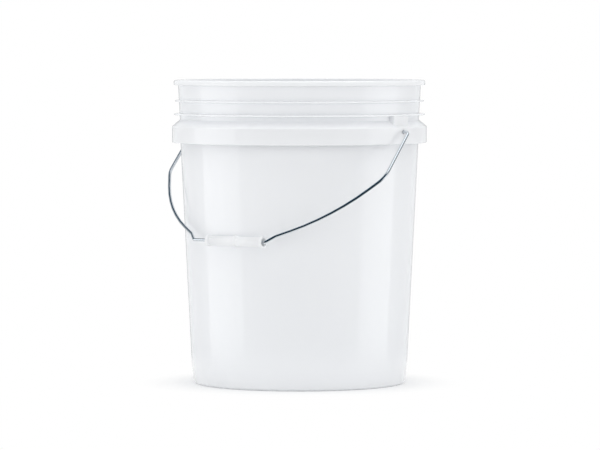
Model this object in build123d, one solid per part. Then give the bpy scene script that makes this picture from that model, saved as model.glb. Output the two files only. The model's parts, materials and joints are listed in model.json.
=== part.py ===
from build123d import *
import os
from math import acos, cos, degrees, radians, sin, sqrt, tan

# Moulded pail with a wire bail and a loose grip sleeve. Lengths are in millimetres, angles in degrees.
# The origin is the centre of the foot ring on the floor, +Z is up, and the two ears lie on the X axis.
# At rest the bail hangs against the wall on the -Y side.

# Wall, heel and floor. The wall's radius is its outside just under the skirt.
pail_height = 363.4
wall_top_radius = 142.4
wall_thickness = 2.3
wall_draft = 2.86
heel_height = 20.5
heel_draft = 6.0
heel_round = 30.0
foot_round = 4.0
foot_ring_width = 9.0
foot_edge_round = 1.0
floor_rise = 5.0
floor_thickness = 2.6
floor_corner_round = 9.0

# Rim and neck. Drops are measured down from the top of the rim.
neck_step = 0.65
neck_flare = 2.2
rim_depth = 6.2
rim_overhang = 5.25
rim_top_round = 2.6
rim_edge_round = 0.9

# Two thin ribs round the neck
upper_rib_drop = 25.1
upper_rib_width = 4.6
lower_rib_drop = 41.1
lower_rib_width = 6.8
rib_root_thickness = 2.4
rib_tip_thickness = 1.8
rib_tip_round = 0.8

# Sloped shoulder and hanging skirt
shoulder_drop = 47.6
shoulder_round = 1.6
skirt_top_drop = 55.3
skirt_foot_drop = 75.0
skirt_stand_off = 10.05
skirt_thickness = 2.3
skirt_round = 1.0
skirt_top_round = 1.8

# Webs that tie the skirt to the wall, each sunk a little into the plastic around it
web_count = 16
web_thickness = 2.0
web_setback = 3.0
weld = 0.6

# Ears: a flat pad under the lower rib, a thick boss behind the skirt and a hole for the wire
ear_inset = 5.2
ear_pad_width = 27.5
ear_pad_setback = 1.0
ear_pad_draft = 14.0
ear_pad_round = 1.0
ear_boss_thickness = 2.4
ear_clearance = 0.4

# Grip sleeve
grip_length = 82.0
grip_diameter = 11.5
grip_ring_diameter = 13.5
grip_flange_width = 4.0
grip_collar_width = 3.0
grip_ring_round = 0.9
grip_mouth_diameter = 9.5
grip_land_length = 12.0
bore_clearance = 0.3
wall_gap = 0.3

# Wire bail: it reaches past the skirt, and its legs and the run in the grip hang a little to one side
wire_diameter = 3.8
bail_overhang = 39.05
leg_sway = 7.3
run_sway = 4.0
hook_length = 5.5
hook_clearance = 0.35
hook_bend = 2.3
ear_bend = 5.0
leg_stand_off = 7.1
leg_drop = 77.5
leg_bend = 36.0
bridge_inset = 38.75
bridge_rise = 46.5
bridge_bend = 200.0
kink_width = 9.2
kink_rise = 10.0
kink_bend = 8.0
grip_run_bend = 5.0
grip_slide = 9.5
grip_end_play = 1.75

# Heights and radii that follow from the values above
floor_top = floor_rise + floor_thickness
rim_foot_height = pail_height - rim_depth
upper_rib_height = pail_height - upper_rib_drop
lower_rib_height = pail_height - lower_rib_drop
shoulder_height = pail_height - shoulder_drop
skirt_top_height = pail_height - skirt_top_drop
skirt_foot_height = pail_height - skirt_foot_drop
ear_height = skirt_top_height - ear_inset
neck_foot_radius = wall_top_radius + neck_step
neck_top_radius = neck_foot_radius + neck_flare
skirt_radius = wall_top_radius + skirt_stand_off
skirt_inner_radius = skirt_radius - skirt_thickness
ear_boss_face = skirt_inner_radius - ear_boss_thickness
wire_radius = wire_diameter / 2
bail_reach = skirt_radius + bail_overhang
grip_center = run_sway + grip_slide


def wall_radius(height):
    """Outside radius of the tapered wall."""
    return wall_top_radius - tan(radians(wall_draft)) * (skirt_foot_height - height)


def heel_radius(height):
    """Outside radius of the steeper heel below the wall."""
    return wall_radius(heel_height) - tan(radians(heel_draft)) * (heel_height - height)


def neck_radius(height):
    """Outside radius of the neck between the shoulder and the rim."""
    share = (height - shoulder_height) / (rim_foot_height - shoulder_height)
    return neck_foot_radius + share * neck_flare


def shoulder_underside(radius):
    """Height of the shoulder's underside, one wall thickness below its sloped top."""
    slope = (shoulder_height - skirt_top_height) / (skirt_radius - neck_foot_radius)
    return shoulder_height - slope * (radius - neck_foot_radius) - wall_thickness * sqrt(1 + slope**2)


def outline(corners):
    """Closed face through corners of (x, y, corner round)."""
    points = [(x, y) for x, y, _ in corners]
    rounds = [corner_round for _, _, corner_round in corners]
    return make_face(FilletPolyline(*points, radius=rounds, close=True))


def turned(corners):
    """Turn an outline of (radius, height, corner round) about the pail's axis."""
    return revolve(Plane.XZ * outline(corners), Axis.Z)


def rib_corners(height, width):
    """Outline of one thin rib, from its lower root to its upper root."""
    root = rib_root_thickness / 2
    tip = rib_tip_thickness / 2
    edge = neck_radius(height) + width
    return [
        (neck_radius(height - root), height - root, 0),
        (edge, height - tip, rib_tip_round),
        (edge, height + tip, rib_tip_round),
        (neck_radius(height + root), height + root, 0),
    ]


def shell():
    """The round part of the moulding, in one outline from the floor round the rim and back."""
    ring_inside = heel_radius(0) - foot_ring_width
    rim_radius = neck_top_radius + rim_overhang
    return turned(
        [
            (0, floor_rise, 0),
            (ring_inside, floor_rise, foot_edge_round),
            (ring_inside, 0, foot_edge_round),
            (heel_radius(0), 0, foot_round),
            (wall_radius(heel_height), heel_height, heel_round),
            (wall_top_radius, skirt_foot_height, 0),
            (wall_top_radius, shoulder_underside(wall_top_radius), skirt_round),
            (skirt_inner_radius, shoulder_underside(skirt_inner_radius), skirt_round),
            (skirt_inner_radius, skirt_foot_height, 0),
            (skirt_radius, skirt_foot_height, skirt_round),
            (skirt_radius, skirt_top_height, skirt_top_round),
            (neck_foot_radius, shoulder_height, shoulder_round),
            *rib_corners(lower_rib_height, lower_rib_width),
            *rib_corners(upper_rib_height, upper_rib_width),
            (neck_top_radius, rim_foot_height, rim_edge_round),
            (rim_radius, rim_foot_height, rim_edge_round),
            (rim_radius, pail_height, rim_top_round),
            (neck_top_radius - wall_thickness, pail_height, rim_edge_round),
            (neck_foot_radius - wall_thickness, shoulder_height, 0),
            (wall_top_radius - wall_thickness, skirt_foot_height, 0),
            (wall_radius(floor_top) - wall_thickness, floor_top, floor_corner_round),
            (0, floor_top, 0),
        ]
    )


def pocket():
    """The ring of space behind the skirt, grown by the weld so that what stands in it joins the shell."""
    inner = wall_top_radius - weld
    outer = skirt_inner_radius + weld
    foot = skirt_foot_height + web_setback
    return turned(
        [
            (inner, foot, 0),
            (outer, foot, 0),
            (outer, shoulder_underside(outer) + weld, 0),
            (inner, shoulder_underside(inner) + weld, 0),
        ]
    )


def pocket_ribs():
    """All that stands in the pocket: the webs, a pair of webs at each ear and the two ear bosses."""
    plate = Box(2 * skirt_radius, web_thickness, 2 * pail_height)
    half_count = web_count // 2
    plates = [plate.rotate(Axis.Z, 180 * turn / half_count) for turn in range(1, half_count)]
    ear_web = (ear_pad_width - web_thickness) / 2
    plates += [Pos(0, side * ear_web, 0) * plate for side in (-1, 1)]
    depth = skirt_radius - ear_boss_face
    boss = Box(depth, ear_pad_width, 2 * pail_height)
    plates += [Pos(side * (ear_boss_face + depth / 2), 0, 0) * boss for side in (-1, 1)]
    ring = pocket()
    return [ring & plate for plate in plates]


def ear_pad(side):
    """Flat buttress above an ear, from the shoulder up into the lower rib, with drafted sides."""
    root = neck_foot_radius - wall_thickness / 2
    face = neck_radius(lower_rib_height) + lower_rib_width - ear_pad_setback
    face_half = ear_pad_width / 2
    root_half = face_half + tan(radians(ear_pad_draft)) * (face - root)
    plan = outline(
        [
            (side * root, -root_half, 0),
            (side * face, -face_half, ear_pad_round),
            (side * face, face_half, ear_pad_round),
            (side * root, root_half, 0),
        ]
    )
    foot = skirt_top_height - weld
    pad = Pos(0, 0, foot) * extrude(plan, amount=lower_rib_height - foot, dir=(0, 0, 1))
    clear_of_pocket = turned(
        [
            (neck_foot_radius - weld, shoulder_height, 0),
            (neck_foot_radius - weld, pail_height, 0),
            (skirt_radius, pail_height, 0),
            (skirt_radius, skirt_top_height, 0),
            (skirt_radius - weld, skirt_top_height - weld, 0),
        ]
    )
    return pad & clear_of_pocket


def pail_body():
    """The whole moulding: the turned shell, what stands behind its skirt, and the ears with their holes."""
    body = shell() + pocket_ribs()
    depth = skirt_radius - ear_boss_face + 2 * weld
    hole = Rot(0, 90, 0) * Cylinder(wire_radius + ear_clearance, depth)
    middle = (skirt_radius + ear_boss_face) / 2
    for side in (-1, 1):
        body += ear_pad(side)
        body -= Pos(side * middle, 0, ear_height) * hole
    return body


def grip_stand_off(wall):
    """Least distance from the pail's axis to the grip's axis beside a wall of this radius."""
    collar_near = max(0, abs(grip_center) - grip_collar_width / 2)
    body_near = max(0, abs(grip_center) - grip_length / 2)
    collar = sqrt(wall**2 - collar_near**2) + (grip_ring_diameter / 2 + wall_gap) / cos(radians(wall_draft))
    body = sqrt(wall**2 - body_near**2) + (grip_diameter / 2 + wall_gap) / cos(radians(wall_draft))
    return max(collar, body)


def rest_angle():
    """How far below level the bail hangs when its grip lies against the wall."""
    angle = 0
    for _ in range(30):
        wall = wall_radius(ear_height - bail_reach * sin(radians(angle)))
        angle = degrees(acos(grip_stand_off(wall) / bail_reach))
    return angle


def bail_plane():
    """Plane of the hanging bail: x along the ear axis, y from the ear axis towards the grip."""
    angle = radians(rest_angle())
    return Plane(origin=(0, 0, ear_height), x_dir=(1, 0, 0), z_dir=(0, sin(angle), -cos(angle)))


def half_bail(side):
    """Corners of half the wire's middle line, from the hook inside an ear to the end of the grip's run."""
    hook = ear_boss_face - hook_clearance - wire_radius
    leg = skirt_radius + leg_stand_off
    grip_run = grip_length / 2 + grip_slide + grip_end_play
    corners = [
        (hook, -hook_length, 0),
        (hook, 0, 0),
        (leg, 0, 0),
        (leg, leg_drop, leg_sway),
        (leg - bridge_inset, bail_reach - bridge_rise, leg_sway),
        (grip_run + kink_width, bail_reach - kink_rise, run_sway),
        (grip_run, bail_reach, run_sway),
    ]
    return [(side * half_width + sway, drop) for half_width, drop, sway in corners]


def wire_bail():
    """One round steel wire, bent flat from hook to hook."""
    bends = [hook_bend, ear_bend, leg_bend, bridge_bend, kink_bend, grip_run_bend]
    path = FilletPolyline(*half_bail(1), *reversed(half_bail(-1)), radius=bends + bends[::-1])
    section = Plane(origin=path @ 0, z_dir=path % 0) * Circle(wire_radius)
    return bail_plane() * sweep(section, path=path)


def handle_grip():
    """Hollow sleeve with a flange at each end, a collar in the middle and a bore that narrows to a land."""
    end = grip_length / 2
    flange = end - grip_flange_width
    collar = grip_collar_width / 2
    body = grip_diameter / 2
    ring = grip_ring_diameter / 2
    half = [
        (collar, ring, grip_ring_round),
        (collar, body, 0),
        (flange, body, 0),
        (flange, ring, grip_ring_round),
        (end, ring, grip_ring_round),
        (end, grip_mouth_diameter / 2, 0),
        (grip_land_length / 2, wire_radius + bore_clearance, 0),
    ]
    other_half = [(-along, radius, corner_round) for along, radius, corner_round in reversed(half)]
    sleeve = revolve(outline(half + other_half), Axis.X)
    return bail_plane() * Pos(grip_center, bail_reach, 0) * sleeve


os.makedirs("parts", exist_ok=True)
export_step(pail_body(), "parts/pail_body.step")
export_step(wire_bail(), "parts/wire_bail.step")
export_step(handle_grip(), "parts/handle_grip.step")
print("ear height", round(ear_height, 2), "bail hangs", round(rest_angle(), 3), "degrees below level")
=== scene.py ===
# %% [markdown]
# # A white moulded bucket with a wire bail
# The solids of this bucket are already built and joined: a moulded plastic shell, a bent wire
# bail that swings in two ears, and a hollow grip that turns on the wire. This lesson gives them their
# looks. Each piece is modelled again as a clean mesh on the same spot, because a glossy white surface
# shows every uneven triangle.

# %% Load the solids
import json
from math import atan2, ceil, cos, degrees, hypot, pi, radians, sin, tan

import bmesh
import bpy
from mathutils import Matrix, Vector


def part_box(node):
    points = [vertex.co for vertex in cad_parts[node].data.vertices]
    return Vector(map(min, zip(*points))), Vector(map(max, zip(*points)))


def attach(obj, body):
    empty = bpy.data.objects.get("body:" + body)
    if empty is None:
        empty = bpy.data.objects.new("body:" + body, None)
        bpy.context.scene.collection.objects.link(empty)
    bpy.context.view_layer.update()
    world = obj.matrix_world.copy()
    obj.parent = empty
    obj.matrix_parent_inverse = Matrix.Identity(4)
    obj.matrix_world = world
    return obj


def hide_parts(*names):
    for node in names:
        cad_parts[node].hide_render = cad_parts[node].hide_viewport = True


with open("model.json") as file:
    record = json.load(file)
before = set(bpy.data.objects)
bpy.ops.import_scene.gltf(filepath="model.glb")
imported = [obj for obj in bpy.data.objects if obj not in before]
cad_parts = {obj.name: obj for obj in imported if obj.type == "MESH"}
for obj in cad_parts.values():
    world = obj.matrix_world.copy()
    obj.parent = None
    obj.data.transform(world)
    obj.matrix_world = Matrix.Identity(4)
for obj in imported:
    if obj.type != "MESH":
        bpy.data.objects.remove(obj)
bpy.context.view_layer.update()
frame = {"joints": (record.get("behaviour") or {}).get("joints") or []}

# %% [markdown]
# ## Measures from the frame
# The joints say where the bail is hinged and where the grip lies, and the boxes of the solids give the
# overall sizes. Everything else is measured from these, in millimetres, so that a wall of 2.3 mm reads as
# 2.3 * mm.

# %% Measures from the frame
mm = 0.001
joints = {joint["name"]: joint for joint in frame["joints"]}
ear_axis = Vector(joints["bail_swing"]["pos_m"])
grip_middle = Vector(joints["grip_spin"]["pos_m"])
pail_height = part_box("pail_body")[1].z
skirt_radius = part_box("pail_body")[1].y
bail_reach = hypot(grip_middle.y - ear_axis.y, grip_middle.z - ear_axis.z)
print("height", round(pail_height, 4), "skirt radius", round(skirt_radius, 4))
print("bail reach", round(bail_reach, 4))

# %% [markdown]
# ## Tools of the bench
# A turned shape starts as one vertex that is extruded from corner to corner. Each corner is then rounded
# with a vertex bevel, whose offset runs along the two edges: a round of radius r at a turn of t needs
# r * tan(t / 2). The outline is drawn in the XZ plane, where spinning it about Z or X makes a solid of
# revolution. What isn't round is a block, cut to shape and joined to the rest.

# %% Taking up a piece, and selecting by place
tiny = 1e-6


def take_up(piece):
    """Select only this piece and make it the active one."""
    bpy.ops.object.select_all(action="DESELECT")
    piece.select_set(True)
    bpy.context.view_layer.objects.active = piece


def pick(piece, test):
    """Select only the vertices of the mesh in edit mode that pass a test."""
    bpy.ops.mesh.select_all(action="DESELECT")
    mesh = bmesh.from_edit_mesh(piece.data)
    for vertex in mesh.verts:
        vertex.select = test(vertex)
    mesh.select_flush_mode()
    bmesh.update_edit_mesh(piece.data)


# %% Drawing an outline
round_steps = 6


def draw_outline(name, corners, closed):
    """Extrude one vertex through corners of (x, z, round) and bevel those that have a round."""
    bpy.ops.object.select_all(action="DESELECT")
    bpy.ops.mesh.primitive_plane_add(size=mm)
    piece = bpy.context.object
    piece.name = piece.data.name = name
    bpy.ops.object.mode_set(mode="EDIT")
    bpy.ops.mesh.select_all(action="SELECT")
    bpy.ops.mesh.merge(type="CENTER")
    places = [Vector((x, 0, z)) for x, z, _ in corners]
    bpy.ops.transform.translate(value=places[0])
    for here, there in zip(places, places[1:]):
        bpy.ops.mesh.extrude_region_move(TRANSFORM_OT_translate={"value": there - here})
    if closed:
        pick(piece, lambda vertex: len(vertex.link_edges) == 1)
        bpy.ops.mesh.edge_face_add()
    for index, (_, _, rounding) in enumerate(corners):
        if rounding:
            here = places[index]
            turn = (here - places[index - 1]).angle(places[(index + 1) % len(places)] - here)
            pick(piece, lambda vertex: (vertex.co - here).length < tiny)
            bpy.ops.mesh.bevel(affect="VERTICES", offset=rounding * tan(turn / 2), segments=round_steps)
    return piece


# %% Turning an outline on a lathe
def turn_on_lathe(piece, axis, steps):
    """Spin the open outline all the way round, weld what meets on the axis and face it outwards."""
    bpy.ops.mesh.select_all(action="SELECT")
    bpy.ops.mesh.spin(steps=steps, angle=2 * pi, center=(0, 0, 0), axis=axis)
    bpy.ops.mesh.select_all(action="SELECT")
    bpy.ops.mesh.remove_doubles(threshold=tiny)
    bpy.ops.mesh.normals_make_consistent(inside=False)
    bpy.ops.object.mode_set(mode="OBJECT")
    print(piece.name, "turned:", len(piece.data.polygons), "faces")


# %% Joining and cutting
def combine(piece, tool, operation):
    """Join a tool to a piece or cut it away, keep the result and throw the tool away."""
    modifier = piece.modifiers.new(operation.title(), "BOOLEAN")
    modifier.operation = operation
    modifier.solver = "EXACT"
    modifier.object = tool
    bpy.context.view_layer.objects.active = piece
    bpy.ops.object.modifier_apply(modifier=modifier.name)
    bpy.data.objects.remove(tool)


# %% Blocks and their copies
def block(name, low, high):
    """A cube primitive sized and placed between two corners, with its place in its mesh."""
    bpy.ops.object.select_all(action="DESELECT")
    low, high = Vector(low), Vector(high)
    bpy.ops.mesh.primitive_cube_add(size=1, location=(low + high) / 2, scale=high - low)
    piece = bpy.context.object
    piece.name = piece.data.name = name
    bpy.ops.object.transform_apply(location=True, rotation=True, scale=True)
    return piece


def copy_round(piece, angles):
    """Copies of a piece turned about the upright axis, all joined into one mesh with the first."""
    take_up(piece)
    for angle in angles:
        copy = piece.copy()
        copy.data = piece.data.copy()
        bpy.context.collection.objects.link(copy)
        copy.rotation_euler.z = angle
        copy.select_set(True)
    bpy.ops.object.transform_apply(location=True, rotation=True, scale=True)
    bpy.ops.object.join()
    return piece


# %% [markdown]
# ## The outline of the shell
# The real shell is one moulding, and nearly all of it is round: a beaded rim, a neck with two thin ribs,
# a sloped shoulder with a skirt hanging from it, a wall that tapers so that buckets nest, and a heel. It
# could be a cylinder with many loops pushed in and out, but an outline on a lathe keeps every height and
# radius exact.

# %% Wall, heel and floor
wall_thickness = 2.3 * mm
wall_draft = radians(2.86)
wall_top_radius = skirt_radius - 10.05 * mm
skirt_foot_height = pail_height - 75.0 * mm
heel_height = 20.5 * mm
heel_draft = radians(6.0)
foot_ring_width = 9.0 * mm
floor_rise = 5.0 * mm
floor_thickness = 2.6 * mm
floor_top = floor_rise + floor_thickness


def wall_radius(height):
    """Radius of the drafted wall's outside at a height."""
    return wall_top_radius - tan(wall_draft) * (skirt_foot_height - height)


foot_radius = wall_radius(heel_height) - tan(heel_draft) * heel_height
floor_inside = wall_radius(floor_top) - wall_thickness
print("foot radius", round(foot_radius, 4), "floor inside", round(floor_inside, 4))

# %% Neck and rim
shoulder_height = pail_height - 47.6 * mm
rim_foot_height = pail_height - 6.2 * mm
neck_foot_radius = wall_top_radius + 0.65 * mm
neck_flare = 2.2 * mm
neck_top_radius = neck_foot_radius + neck_flare
rim_radius = neck_top_radius + 5.25 * mm


def neck_radius(height):
    """Radius of the slightly flared neck's outside at a height."""
    return neck_foot_radius + neck_flare * (height - shoulder_height) / (rim_foot_height - shoulder_height)


print("rim across", round(2 * rim_radius, 4))

# %% Ribs
lower_rib_height = pail_height - 41.1 * mm
lower_rib_width = 6.8 * mm
upper_rib_height = pail_height - 25.1 * mm
upper_rib_width = 4.6 * mm
rib_root_half = 1.2 * mm
rib_edge_half = 0.9 * mm
rib_root_round = 0.5 * mm
rib_edge_round = 0.8 * mm


def rib(height, width):
    """Corners of one rib, from its lower root to its upper root, with soft roots and a rounded edge."""
    edge = neck_radius(height) + width
    return [
        (neck_radius(height - rib_root_half), height - rib_root_half, rib_root_round),
        (edge, height - rib_edge_half, rib_edge_round),
        (edge, height + rib_edge_half, rib_edge_round),
        (neck_radius(height + rib_root_half), height + rib_root_half, rib_root_round),
    ]


print("rib edges at", round(neck_radius(lower_rib_height) + lower_rib_width, 4), "and",
      round(neck_radius(upper_rib_height) + upper_rib_width, 4))

# %% Shoulder and skirt
skirt_top_height = pail_height - 55.3 * mm
skirt_thickness = 2.3 * mm
skirt_inner_radius = skirt_radius - skirt_thickness
shoulder_slope = (shoulder_height - skirt_top_height) / (skirt_radius - neck_foot_radius)
underside_drop = wall_thickness * hypot(1, shoulder_slope)


def shoulder_underside(radius):
    """Height of the shoulder's underside at a radius."""
    return shoulder_height - shoulder_slope * (radius - neck_foot_radius) - underside_drop


print("shoulder slopes", round(degrees(atan2(shoulder_slope, 1)), 1), "degrees")

# %% The whole outline, from the middle of the floor, round the outside and back down the inside
small_round = 1.0 * mm
foot_round = 4.0 * mm
heel_round = 30.0 * mm
skirt_lip_round = 0.4 * mm
skirt_top_round = 1.8 * mm
shoulder_round = 1.6 * mm
rim_edge_round = 0.9 * mm
rim_top_round = 2.6 * mm
floor_round = 9.0 * mm
shell_corners = [
    (0, floor_rise, 0),
    (foot_radius - foot_ring_width, floor_rise, small_round),
    (foot_radius - foot_ring_width, 0, small_round),
    (foot_radius, 0, foot_round),
    (wall_radius(heel_height), heel_height, heel_round),
    (wall_top_radius, skirt_foot_height, 0),
    (wall_top_radius, shoulder_underside(wall_top_radius), small_round),
    (skirt_inner_radius, shoulder_underside(skirt_inner_radius), small_round),
    (skirt_inner_radius, skirt_foot_height, skirt_lip_round),
    (skirt_radius, skirt_foot_height, small_round),
    (skirt_radius, skirt_top_height, skirt_top_round),
    (neck_foot_radius, shoulder_height, shoulder_round),
    *rib(lower_rib_height, lower_rib_width),
    *rib(upper_rib_height, upper_rib_width),
    (neck_top_radius, rim_foot_height, rim_edge_round),
    (rim_radius, rim_foot_height, rim_edge_round),
    (rim_radius, pail_height, rim_top_round),
    (neck_top_radius - wall_thickness, pail_height, rim_edge_round),
    (neck_foot_radius - wall_thickness, shoulder_height, 0),
    (wall_top_radius - wall_thickness, skirt_foot_height, 0),
    (floor_inside, floor_top, floor_round),
    (0, floor_top, 0),
]
print("the shell's outline has", len(shell_corners), "corners")

# %% Draw and turn the shell
shell_steps = 240
shell = draw_outline("pail_shell", shell_corners, closed=False)
turn_on_lathe(shell, axis=(0, 0, 1), steps=shell_steps)

# %% [markdown]
# ## Webs behind the skirt
# Seen from below, thin upright webs tie the skirt to the wall, so that it doesn't flex under a lid or a
# hand. One plate is cut to the slope of the shoulder and copied round. The ears have a pair of webs of
# their own and a thicker boss, so the places on the ear axis are left out of the ring.

# %% One web
web_thickness = 2.0 * mm
weld = 0.6 * mm
web_foot = skirt_foot_height + 3.0 * mm
web_inner = wall_top_radius - weld
web_outer = skirt_inner_radius + weld


def web(name, offset):
    """An upright plate from the wall to the skirt, with its top cut to the shoulder's slope."""
    top = shoulder_underside(web_inner) + weld
    half = web_thickness / 2
    plate = block(name, (web_inner, offset - half, web_foot), (web_outer, offset + half, top))
    bpy.ops.object.mode_set(mode="EDIT")
    pick(plate, lambda vertex: vertex.co.x > web_outer - tiny and vertex.co.z > top - tiny)
    bpy.ops.transform.translate(value=(0, 0, shoulder_underside(web_outer) + weld - top))
    bpy.ops.object.mode_set(mode="OBJECT")
    return plate


# %% The ring of webs
web_places = 16
web_step = 2 * pi / web_places
ring = web("webs", 0)
bpy.ops.object.mode_set(mode="EDIT")
bpy.ops.mesh.select_all(action="SELECT")
bpy.ops.transform.rotate(value=-web_step, orient_axis="Z", center_override=(0, 0, 0))
bpy.ops.object.mode_set(mode="OBJECT")
copy_round(ring, [turn * web_step for turn in range(1, web_places - 1) if (turn + 1) % (web_places // 2)])
combine(shell, ring, "UNION")
print("shell with its ring of webs:", len(shell.data.polygons), "faces")

# %% The webs beside the ears
ear_width = 27.5 * mm
for side in (-1, 1):
    ear_web = web("ear_webs", side * (ear_width - web_thickness) / 2)
    combine(shell, copy_round(ear_web, [pi]), "UNION")
print("shell with all its webs:", len(shell.data.polygons), "faces")

# %% [markdown]
# ## Ears
# Each ear is a flat pad between the lower rib and the shoulder, with drafted sides so that it leaves the
# mould, and a boss behind the skirt that thickens it where the wire turns. Both are blocks joined to the
# shell. The hole is drilled last, through the skirt and the boss together.

# %% Bosses behind the skirt
boss_depth = 2.4 * mm
boss_sink = 0.8 * mm
boss_face = skirt_inner_radius - boss_depth
boss_half = ear_width / 2 - web_thickness / 2
boss_low = (boss_face, -boss_half, web_foot)
boss_high = (skirt_inner_radius + boss_sink, boss_half, shoulder_underside(boss_face) + weld)
combine(shell, copy_round(block("bosses", boss_low, boss_high), [pi]), "UNION")
print("shell with bosses:", len(shell.data.polygons), "faces")

# %% Pads above the ears
pad_inset = 1.0 * mm
pad_sink = 1.5 * mm
pad_round = 1.0 * mm
pad_draft = radians(14.0)
pad_top = lower_rib_height
pad_face = neck_radius(pad_top) + lower_rib_width - pad_inset
pad_root = neck_foot_radius - wall_thickness / 2
pad_low = (pad_root, -ear_width / 2, shoulder_height - pad_sink)
pad = block("pads", pad_low, (pad_face, ear_width / 2, pad_top))
bpy.ops.object.mode_set(mode="EDIT")
pick(pad, lambda vertex: vertex.co.x < pad_root + tiny)
widen = 1 + 2 * tan(pad_draft) * (pad_face - pad_root) / ear_width
bpy.ops.transform.resize(value=(1, widen, 1), center_override=(0, 0, 0))
pick(pad, lambda vertex: vertex.co.x > pad_face - tiny and vertex.co.z < shoulder_height)
bpy.ops.transform.translate(value=(0, 0, -shoulder_slope * (pad_face - neck_foot_radius)))
pick(pad, lambda vertex: vertex.co.x > pad_face - tiny)
bpy.ops.mesh.bevel(affect="EDGES", offset=pad_round, segments=round_steps)
bpy.ops.object.mode_set(mode="OBJECT")
combine(shell, copy_round(pad, [pi]), "UNION")
print("shell with pads:", len(shell.data.polygons), "faces")

# %% Holes for the wire
wire_radius = 1.9 * mm
hole_clearance = 0.4 * mm
hole_sides = 48
drill_length = 12 * mm
for side in (-1, 1):
    bpy.ops.object.select_all(action="DESELECT")
    bpy.ops.mesh.primitive_cylinder_add(
        vertices=hole_sides, radius=wire_radius + hole_clearance, depth=drill_length,
        location=(side * skirt_radius, 0, ear_axis.z), rotation=(0, pi / 2, 0),
    )
    combine(shell, bpy.context.object, "DIFFERENCE")
print("shell with ears:", len(shell.data.polygons), "faces")

# %% [markdown]
# ## The wire bail
# The bail is one wire bent flat, as on a wire-bending machine: feed, bend, feed, bend. A ring of edges is
# extruded along each straight run and spun round the middle of each bend, which keeps the wire round all
# the way. The bail is drawn where it hangs, in the plane through the ear axis and the grip. Each corner
# of half the wire has four numbers: how far across, how far down the hang, how far it sways, and its
# bend.

# %% The bail's corners, in its own flat plane
hang = (grip_middle - ear_axis) * Vector((0, 1, 1))
hang.normalize()
leg_sway = 7.3 * mm
run_sway = 4.0 * mm
grip_run = 52.25 * mm
leg = skirt_radius + 7.1 * mm
hook_gap = 0.35 * mm
hook = boss_face - hook_gap - wire_radius
bail_corners = [
    (hook, -5.5 * mm, 0, 0),
    (hook, 0, 0, 2.3 * mm),
    (leg, 0, 0, 5.0 * mm),
    (leg, 77.5 * mm, leg_sway, 36.0 * mm),
    (leg - 38.75 * mm, bail_reach - 46.5 * mm, leg_sway, 200.0 * mm),
    (grip_run + 9.2 * mm, bail_reach - 10.0 * mm, run_sway, 8.0 * mm),
    (grip_run, bail_reach, run_sway, 5.0 * mm),
]


def half_bail(side):
    """Places and bends of half the wire, from a hook to the end of the run that holds the grip."""
    return [
        (Vector((side * across + sway, 0, ear_axis.z)) + drop * hang, bend)
        for across, drop, sway, bend in bail_corners
    ]


bail_line = half_bail(1) + half_bail(-1)[::-1]
print("bail hangs", round(degrees(atan2(-hang.z, -hang.y)), 2), "degrees below level")

# %% The cut end of the wire
wire_sides = 32
first_way = (bail_line[1][0] - bail_line[0][0]).normalized()
bpy.ops.object.select_all(action="DESELECT")
bpy.ops.mesh.primitive_circle_add(
    vertices=wire_sides, radius=wire_radius, location=bail_line[0][0],
    rotation=first_way.to_track_quat("Z", "X").to_euler(),
)
bail = bpy.context.object
bail.name = bail.data.name = "bail_wire"
bpy.ops.object.transform_apply(location=True, rotation=True, scale=True)
print("wire starts with", len(bail.data.vertices), "vertices")

# %% Feed and bend
bend_step = radians(5)
bpy.ops.object.mode_set(mode="EDIT")
bpy.ops.mesh.select_all(action="SELECT")
here = bail_line[0][0]
for (before, _), (corner, bend), (after, _) in zip(bail_line, bail_line[1:], bail_line[2:]):
    way_in = (corner - before).normalized()
    way_out = (after - corner).normalized()
    turn = way_in.angle(way_out)
    setback = bend * tan(turn / 2)
    feed = corner - setback * way_in - here
    bpy.ops.mesh.extrude_region_move(TRANSFORM_OT_translate={"value": feed})
    axis = way_in.cross(way_out).normalized()
    middle = here + feed + bend * axis.cross(way_in)
    bpy.ops.mesh.spin(steps=max(2, ceil(turn / bend_step)), angle=-turn, center=middle, axis=axis)
    here = corner + setback * way_out
bpy.ops.mesh.extrude_region_move(TRANSFORM_OT_translate={"value": bail_line[-1][0] - here})
print("wire bent", len(bail_line) - 2, "times")

# %% Close the two cut ends
pick(bail, lambda vertex: any(edge.is_boundary for edge in vertex.link_edges))
bpy.ops.mesh.edge_face_add()
bpy.ops.mesh.select_all(action="SELECT")
bpy.ops.mesh.remove_doubles(threshold=tiny)
bpy.ops.mesh.normals_make_consistent(inside=False)
bpy.ops.object.mode_set(mode="OBJECT")
print("bail:", len(bail.data.polygons), "faces")

# %% [markdown]
# ## The grip
# The grip is a hollow sleeve with a flange at each end and a collar in the middle. Its bore is wide at
# the mouths and narrows to a short land that rides on the wire. The outline is drawn along X and spun
# about X, and the finished sleeve is moved to the wire.

# %% The grip's outline
grip_end = 41.0 * mm
grip_body = 5.75 * mm
grip_ring = 6.75 * mm
collar_half = 1.5 * mm
flange_start = grip_end - 4.0 * mm
mouth = 4.75 * mm
land_half = 6.0 * mm
land_radius = wire_radius + 0.3 * mm
ring_round = 0.45 * mm
root_round = 0.5 * mm
mouth_round = 0.3 * mm
half_grip = [
    (collar_half, grip_ring, ring_round),
    (collar_half, grip_body, root_round),
    (flange_start, grip_body, root_round),
    (flange_start, grip_ring, ring_round),
    (grip_end, grip_ring, ring_round),
    (grip_end, mouth, mouth_round),
    (land_half, land_radius, 0),
]
other_half = [(-along, radius, rounding) for along, radius, rounding in half_grip[::-1]]
print("the grip's outline has", len(half_grip + other_half), "corners")

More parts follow.
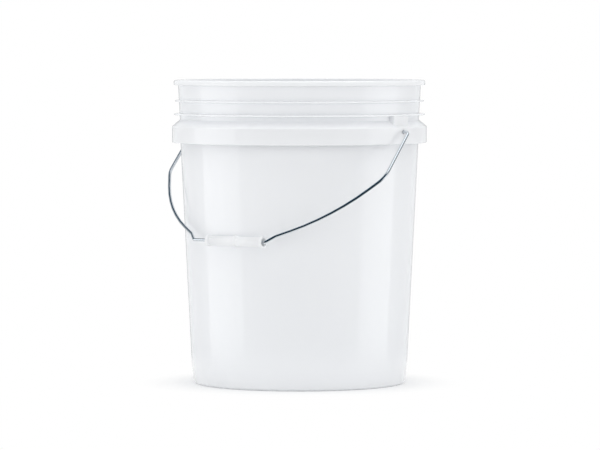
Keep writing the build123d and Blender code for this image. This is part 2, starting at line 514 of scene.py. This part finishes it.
# %% Turn the grip and put it on the wire
grip_steps = 96
grip = draw_outline("grip_sleeve", half_grip + other_half, closed=True)
turn_on_lathe(grip, axis=(1, 0, 0), steps=grip_steps)
grip.location = grip_middle
take_up(grip)
bpy.ops.object.transform_apply(location=True, rotation=True, scale=True)

# %% [markdown]
# ## Smooth shading
# The flats are much larger than the rounds beside them. Plain smooth shading would bend the light over a
# whole wall, so each vertex takes its normal from the larger face. Edges sharper than a moulded round
# stay crisp.

# %% Shade the pieces
crisp_angle = radians(32)
for piece in (shell, bail, grip):
    take_up(piece)
    bpy.ops.object.shade_smooth_by_angle(angle=crisp_angle)
    weighted = piece.modifiers.new("Weighted", "WEIGHTED_NORMAL")
    weighted.keep_sharp = True
    bpy.ops.object.modifier_apply(modifier=weighted.name)
    print(piece.name, "shaded:", len(piece.data.polygons), "faces")

# %% [markdown]
# ## Trees of nodes
# A material is a small tree of nodes, and so is the light of the room. Written out link by link it is
# hard to read, so one function adds a node together with its inputs. An input is either a plain value,
# which is written into the socket, or another node's output, which is linked to it.


# %% Adding a node
def put(node, inputs):
    """Give a node its inputs by name or number, each a plain value or another node's output."""
    for name, value in inputs.items():
        socket = node.inputs[name]
        if isinstance(value, bpy.types.NodeSocket):
            node.id_data.links.new(value, socket)
        else:
            socket.default_value = value


def add(tree, kind, inputs=None, **settings):
    """Add a node of a kind to a tree, with its settings and inputs."""
    node = tree.nodes.new(kind)
    for setting, value in settings.items():
        setattr(node, setting, value)
    put(node, inputs or {})
    return node


def new_material(name):
    """A material, its tree of nodes and its shader."""
    material = bpy.data.materials.new(name)
    material.use_nodes = True
    return material, material.node_tree, material.node_tree.nodes["Principled BSDF"]


# %% Clouds, ranges and ramps
def noise(tree, place, scale, detail):
    """Clouds from 0 to 1, which are smaller for a larger scale."""
    inputs = {"Vector": place, "Scale": scale, "Detail": detail}
    return add(tree, "ShaderNodeTexNoise", inputs).outputs["Fac"]


def spread(tree, value, low, high):
    """Stretch a value from 0 to 1 over another range."""
    inputs = {"Value": value, "To Min": low, "To Max": high}
    return add(tree, "ShaderNodeMapRange", inputs).outputs["Result"]


def ramp(tree, value, stops):
    """A colour ramp through stops of (position, colour), from low to high."""
    node = add(tree, "ShaderNodeValToRGB", {"Fac": value})
    elements = node.color_ramp.elements
    for _ in stops[2:]:
        elements.new(1.0)
    for element, (position, colour) in zip(elements, stops):
        element.position = position
        element.color = colour
    return node.outputs["Color"]


# %% [markdown]
# ## White moulded plastic
# The shell is white polyethylene, glossy where it met the polished mould. Light wanders a few millimetres
# through it, nearly the whole thickness of the wall. A plain diffuse white would look like chalk, so most
# of the colour comes from subsurface scattering, which also softens the shadows in the corners. A slow
# cloud varies the white, streaks along the draw of the mould vary the gloss, and a very fine bump breaks
# up the mirror.

# %% Shell plastic
shell_plastic, tree, shader = new_material("shell_plastic")
place = add(tree, "ShaderNodeTexCoord").outputs["Object"]
cloud = noise(tree, place, scale=14.0, detail=2.0)
whites = ramp(tree, cloud, ((0.0, (0.918, 0.933, 0.96, 1)), (1.0, (0.934, 0.949, 0.976, 1))))
stretched = add(tree, "ShaderNodeMapping", {"Vector": place, "Scale": (260.0, 260.0, 6.0)})
streaks = noise(tree, stretched.outputs["Vector"], scale=1.0, detail=3.0)
gloss = spread(tree, streaks, low=0.03, high=0.07)
peel = noise(tree, place, scale=900.0, detail=2.0)
fine_bump = add(tree, "ShaderNodeBump", {"Height": peel, "Strength": 0.03, "Distance": 0.05 * mm})
put(shader, {
    "Base Color": whites,
    "Subsurface Weight": 0.9,
    "Subsurface Radius": (1.0, 1.0, 1.0),
    "Subsurface Scale": 2.5 * mm,
    "IOR": 1.5,
    "Roughness": gloss,
    "Normal": fine_bump.outputs["Normal"],
})
print(shell_plastic.name, "has", len(tree.nodes), "nodes")

# %% [markdown]
# ## Bright wire
# The bail is drawn steel wire with a thin zinc coat. It could be painted grey, but a real one has hardly
# any colour of its own and mirrors the room in long lines. So it is a metal of low roughness, with a fine
# mottle from the zinc.

# %% Wire metal
wire_metal, tree, shader = new_material("wire_metal")
place = add(tree, "ShaderNodeTexCoord").outputs["Object"]
mottle = noise(tree, place, scale=420.0, detail=3.0)
greys = ramp(tree, mottle, ((0.0, (0.66, 0.7, 0.74, 1)), (1.0, (0.78, 0.81, 0.84, 1))))
polish = spread(tree, mottle, low=0.05, high=0.12)
put(shader, {"Base Color": greys, "Metallic": 1.0, "Roughness": polish})
print(wire_metal.name, "has", len(tree.nodes), "nodes")

# %% [markdown]
# ## Grip plastic
# The grip is the same family of plastic, but satin, whiter and a touch warmer. It is small and lets light
# through, so the scattering goes deeper than in the shell, which keeps its open mouth from turning black.
# But there is less of it, because scattering all through would take the light off its upper side.

# %% Grip plastic
grip_plastic, tree, shader = new_material("grip_plastic")
place = add(tree, "ShaderNodeTexCoord").outputs["Object"]
cloud = noise(tree, place, scale=60.0, detail=2.0)
whites = ramp(tree, cloud, ((0.0, (0.962, 0.967, 0.972, 1)), (1.0, (0.976, 0.98, 0.984, 1))))
satin = spread(tree, cloud, low=0.35, high=0.5)
put(shader, {
    "Base Color": whites,
    "Subsurface Weight": 0.6,
    "Subsurface Radius": (1.0, 1.0, 1.0),
    "Subsurface Scale": 5.0 * mm,
    "Roughness": satin,
})
print(grip_plastic.name, "has", len(tree.nodes), "nodes")

# %% [markdown]
# ## Riding on the bodies
# The bucket moves in two places: the bail swings in the ears, and the grip turns on the wire. So each new
# piece rides on the body it belongs to and stands in for the solid it was modelled on, which is hidden.

# %% Dress the pieces
for piece, material, body, node, slot in (
    (shell, shell_plastic, "pail", "pail_body", "pail_plastic"),
    (bail, wire_metal, "bail", "wire_bail", "bail_wire"),
    (grip, grip_plastic, "grip", "handle_grip", "grip_plastic"),
):
    piece.data.materials.clear()
    piece.data.materials.append(material)
    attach(piece, body)
    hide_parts(node)
    print(piece.name, "rides on", body, "and stands for", node)

# %% [markdown]
# ## Camera
# The bucket is seen from far away through a long lens, a little above the middle, with one ear in front
# on the right. So the camera goes round the upright axis by that angle and looks slightly down. The
# Standard view shows each colour as it is written.

# %% Camera
view_angle = radians(36.5)
camera_distance = 4.768
camera_height = 0.4122
look_height = 0.1892
look_right = 0.7 * mm
toward_camera = Vector((sin(view_angle), -cos(view_angle), 0))
camera_right = Vector((cos(view_angle), sin(view_angle), 0))
camera_place = camera_distance * toward_camera + Vector((0, 0, camera_height))
look_at = Vector((0, 0, look_height)) + look_right * camera_right
camera_turn = (look_at - camera_place).to_track_quat("-Z", "Y")
bpy.ops.object.camera_add(location=camera_place, rotation=camera_turn.to_euler())
camera = bpy.context.object
camera.data.lens = 238.8
camera.data.sensor_width = 36.0
bpy.context.scene.camera = camera
bpy.context.scene.view_settings.view_transform = "Standard"
print("camera", round((look_at - camera_place).length, 3), "m away")

# %% [markdown]
# ## Soft boxes
# Two low soft boxes stand left and right of the bucket. The wall leans a little downwards, so it mirrors
# what lies low, and the boxes reach below the table to draw upright bright bands with clear edges. A wide
# box overhead makes the rim, ribs and shoulder bright, a wide key in front and above lights the wall, and
# a weak one low in front fills it. These three are hidden from reflections, so that the wire keeps its
# dark line.

# %% One soft box
lamp_white = (0.972, 0.984, 1.0)


def soft_box(name, turn, distance, height, width, tall, radiance, reflected):
    """A rectangular lamp that faces the bucket, turned away from the camera to its right, at a height."""
    away = cos(turn) * toward_camera + sin(turn) * camera_right
    place = distance * away + Vector((0, 0, height))
    aim = Vector((0, 0, min(height, pail_height / 2))) - place
    bpy.ops.object.light_add(type="AREA", location=place, rotation=aim.to_track_quat("-Z", "Y").to_euler())
    lamp = bpy.context.object
    lamp.name = name
    lamp.data.shape = "RECTANGLE"
    lamp.data.size = width
    lamp.data.size_y = tall
    lamp.data.energy = radiance * pi * width * tall
    lamp.data.color = lamp_white
    lamp.visible_camera = False
    lamp.visible_glossy = reflected
    print(name, "gives", round(lamp.data.energy, 1), "watts")


# %% All soft boxes
soft_box("left_box", turn=radians(-81), distance=1.3, height=0.045,
         width=1.1, tall=0.6, radiance=1.0, reflected=True)
soft_box("right_box", turn=radians(82), distance=1.3, height=0.03,
         width=0.95, tall=0.56, radiance=0.98, reflected=True)
soft_box("top_box", turn=0, distance=0.1, height=2.2,
         width=3.8, tall=1.6, radiance=1.45, reflected=False)
soft_box("key_box", turn=0, distance=1.9, height=1.6,
         width=3.2, tall=1.4, radiance=0.68, reflected=False)
soft_box("front_box", turn=0, distance=2.6, height=0.35,
         width=3.0, tall=1.8, radiance=0.12, reflected=False)

# %% [markdown]
# ## White background
# The background is white to the camera and through clear things, and in reflections straight behind the
# bucket. To the sides the room is grey, and round the camera it is dark, which draws the edges of the
# white shell and the dark line along the wire. The upper room is slate. Two bright patches, one overhead
# and one at the left, give the wire its pale lines. All of it depends on the direction in the room, so it
# stays in place when the camera moves.


# %% Sums, rises and mixes
def reckon(tree, operation, *values):
    """One sum of plain values or other nodes' outputs."""
    return add(tree, "ShaderNodeMath", dict(enumerate(values)), operation=operation).outputs[0]


def rise(tree, value, start, end, way="SMOOTHSTEP"):
    """0 before a start, 1 past an end, and a smooth or straight rise between."""
    inputs = {"Value": value, "From Min": start, "From Max": end}
    return add(tree, "ShaderNodeMapRange", inputs, interpolation_type=way).outputs["Result"]


def mix(tree, share, under, over):
    """A share of one colour over another."""
    inputs = {"Factor": share, "A": under, "B": over}
    return add(tree, "ShaderNodeMix", inputs, data_type="RGBA").outputs["Result"]


# %% Directions in the room
world = bpy.data.worlds.new("studio")
bpy.context.scene.world = world
world.use_nodes = True
tree = world.node_tree
direction = add(tree, "ShaderNodeTexCoord").outputs["Generated"]
upward = add(tree, "ShaderNodeSeparateXYZ", {"Vector": direction}).outputs["Z"]


def lean(way):
    """How far a direction in the room leans towards a way."""
    product = add(tree, "ShaderNodeVectorMath", {0: direction, 1: way}, operation="DOT_PRODUCT")
    return product.outputs["Value"]


facing = lean(toward_camera)
from_behind = rise(tree, facing, start=-1.0, end=1.0, way="LINEAR")
print("directions need", len(tree.nodes), "nodes")

# %% Grey sides, dark front and slate upper room
grey_stops = ((0.0, 0.5), (0.013, 0.55), (0.02, 0.85), (0.08, 0.8), (0.2, 0.5), (0.56, 0.45))
room_stops = [(position, (level, 1.02 * level, 1.04 * level, 1)) for position, level in grey_stops]
dark_front = (0.68, (0.036, 0.042, 0.05, 1))
room = ramp(tree, from_behind, [*room_stops, dark_front])
slate = (0.028, 0.07, 0.108, 1)
slate_retreat = 0.6
climb = reckon(tree, "MULTIPLY_ADD", reckon(tree, "MINIMUM", facing, 0.0), slate_retreat, upward)
dimmed = mix(tree, rise(tree, climb, start=0.1, end=0.45, way="LINEAR"), room, slate)
print("the room has", len(grey_stops), "greys and a dark front")

# %% Bright patches for the wire
patch_white = (1.6, 1.62, 1.64, 1)
overhead = Vector((0, 0, 0.92)) + 0.39 * camera_right
left_side = Vector((0, 0, 0.48)) - 0.87 * camera_right + 0.1 * toward_camera
ceiling = rise(tree, lean(overhead), start=0.9, end=0.94)
bank = rise(tree, lean(left_side), start=0.955, end=0.975)
walls = mix(tree, reckon(tree, "MAXIMUM", ceiling, bank), dimmed, patch_white)
print("patches towards", [round(side, 2) for side in overhead], [round(side, 2) for side in left_side])

# %% What each kind of ray sees
backdrop_white = (0.9, 0.9, 0.9, 1)
behind = rise(tree, from_behind, start=0.006, end=0.001)
above = rise(tree, upward, start=-0.01, end=0.02)
around = mix(tree, reckon(tree, "MULTIPLY", behind, above), walls, backdrop_white)
ambient = ramp(tree, upward, ((0.1, (0.82, 0.83, 0.845, 1)), (0.6, (0.43, 0.436, 0.443, 1))))
rays = add(tree, "ShaderNodeLightPath").outputs
mirrored = mix(tree, rays["Is Glossy Ray"], ambient, around)
straight = reckon(tree, "MAXIMUM", rays["Is Camera Ray"], rays["Is Transmission Ray"])
shown = mix(tree, straight, mirrored, (1, 1, 1, 1))
put(tree.nodes["Background"], {"Color": shown})
print("the room has", len(tree.nodes), "nodes")

# %% [markdown]
# ## Floor
# The bucket stands on a small round table with white paper. Near the bucket it is plain paper, so it
# keeps the shadow, and further out it turns into the same white as the background. A wide floor would
# hide the low soft boxes from the wall, so the table is small, and its rim fades away so that no edge
# shows in the gloss. From below it is clear, so that the underside of the bucket can be seen.

# %% Floor
floor_radius = 0.45
floor_sides = 128
bpy.ops.object.select_all(action="DESELECT")
bpy.ops.mesh.primitive_circle_add(vertices=floor_sides, radius=floor_radius, fill_type="NGON")
floor = bpy.context.object
floor.name = "floor"
print("floor", 2 * floor_radius, "m across")

# %% Floor paper that turns into the background
paper, tree, shader = new_material("floor_paper")
put(shader, {"Base Color": (0.92, 0.925, 0.93, 1), "Roughness": 0.9})
place = add(tree, "ShaderNodeTexCoord").outputs["Object"]
reach = add(tree, "ShaderNodeVectorMath", {0: place}, operation="LENGTH").outputs["Value"]
rays = add(tree, "ShaderNodeLightPath").outputs
straight = reckon(tree, "MAXIMUM", rays["Is Camera Ray"], rays["Is Transmission Ray"])
seen = reckon(tree, "MAXIMUM", straight, rays["Is Glossy Ray"])
white_share = reckon(tree, "MULTIPLY", seen, rise(tree, reach, start=0.06, end=0.2))
white = add(tree, "ShaderNodeEmission").outputs["Emission"]
layers = {"Fac": white_share, 1: shader.outputs["BSDF"], 2: white}
sheet = add(tree, "ShaderNodeMixShader", layers).outputs["Shader"]

# %% A rim that fades and a clear underside
underside = add(tree, "ShaderNodeNewGeometry").outputs["Backfacing"]
gone = reckon(tree, "MAXIMUM", rise(tree, reach, start=0.24, end=floor_radius), underside)
clear = add(tree, "ShaderNodeBsdfTransparent").outputs["BSDF"]
table_top = add(tree, "ShaderNodeMixShader", {"Fac": gone, 1: sheet, 2: clear}).outputs["Shader"]
put(tree.nodes["Material Output"], {"Surface": table_top})
floor.data.materials.append(paper)
print(paper.name, "has", len(tree.nodes), "nodes")
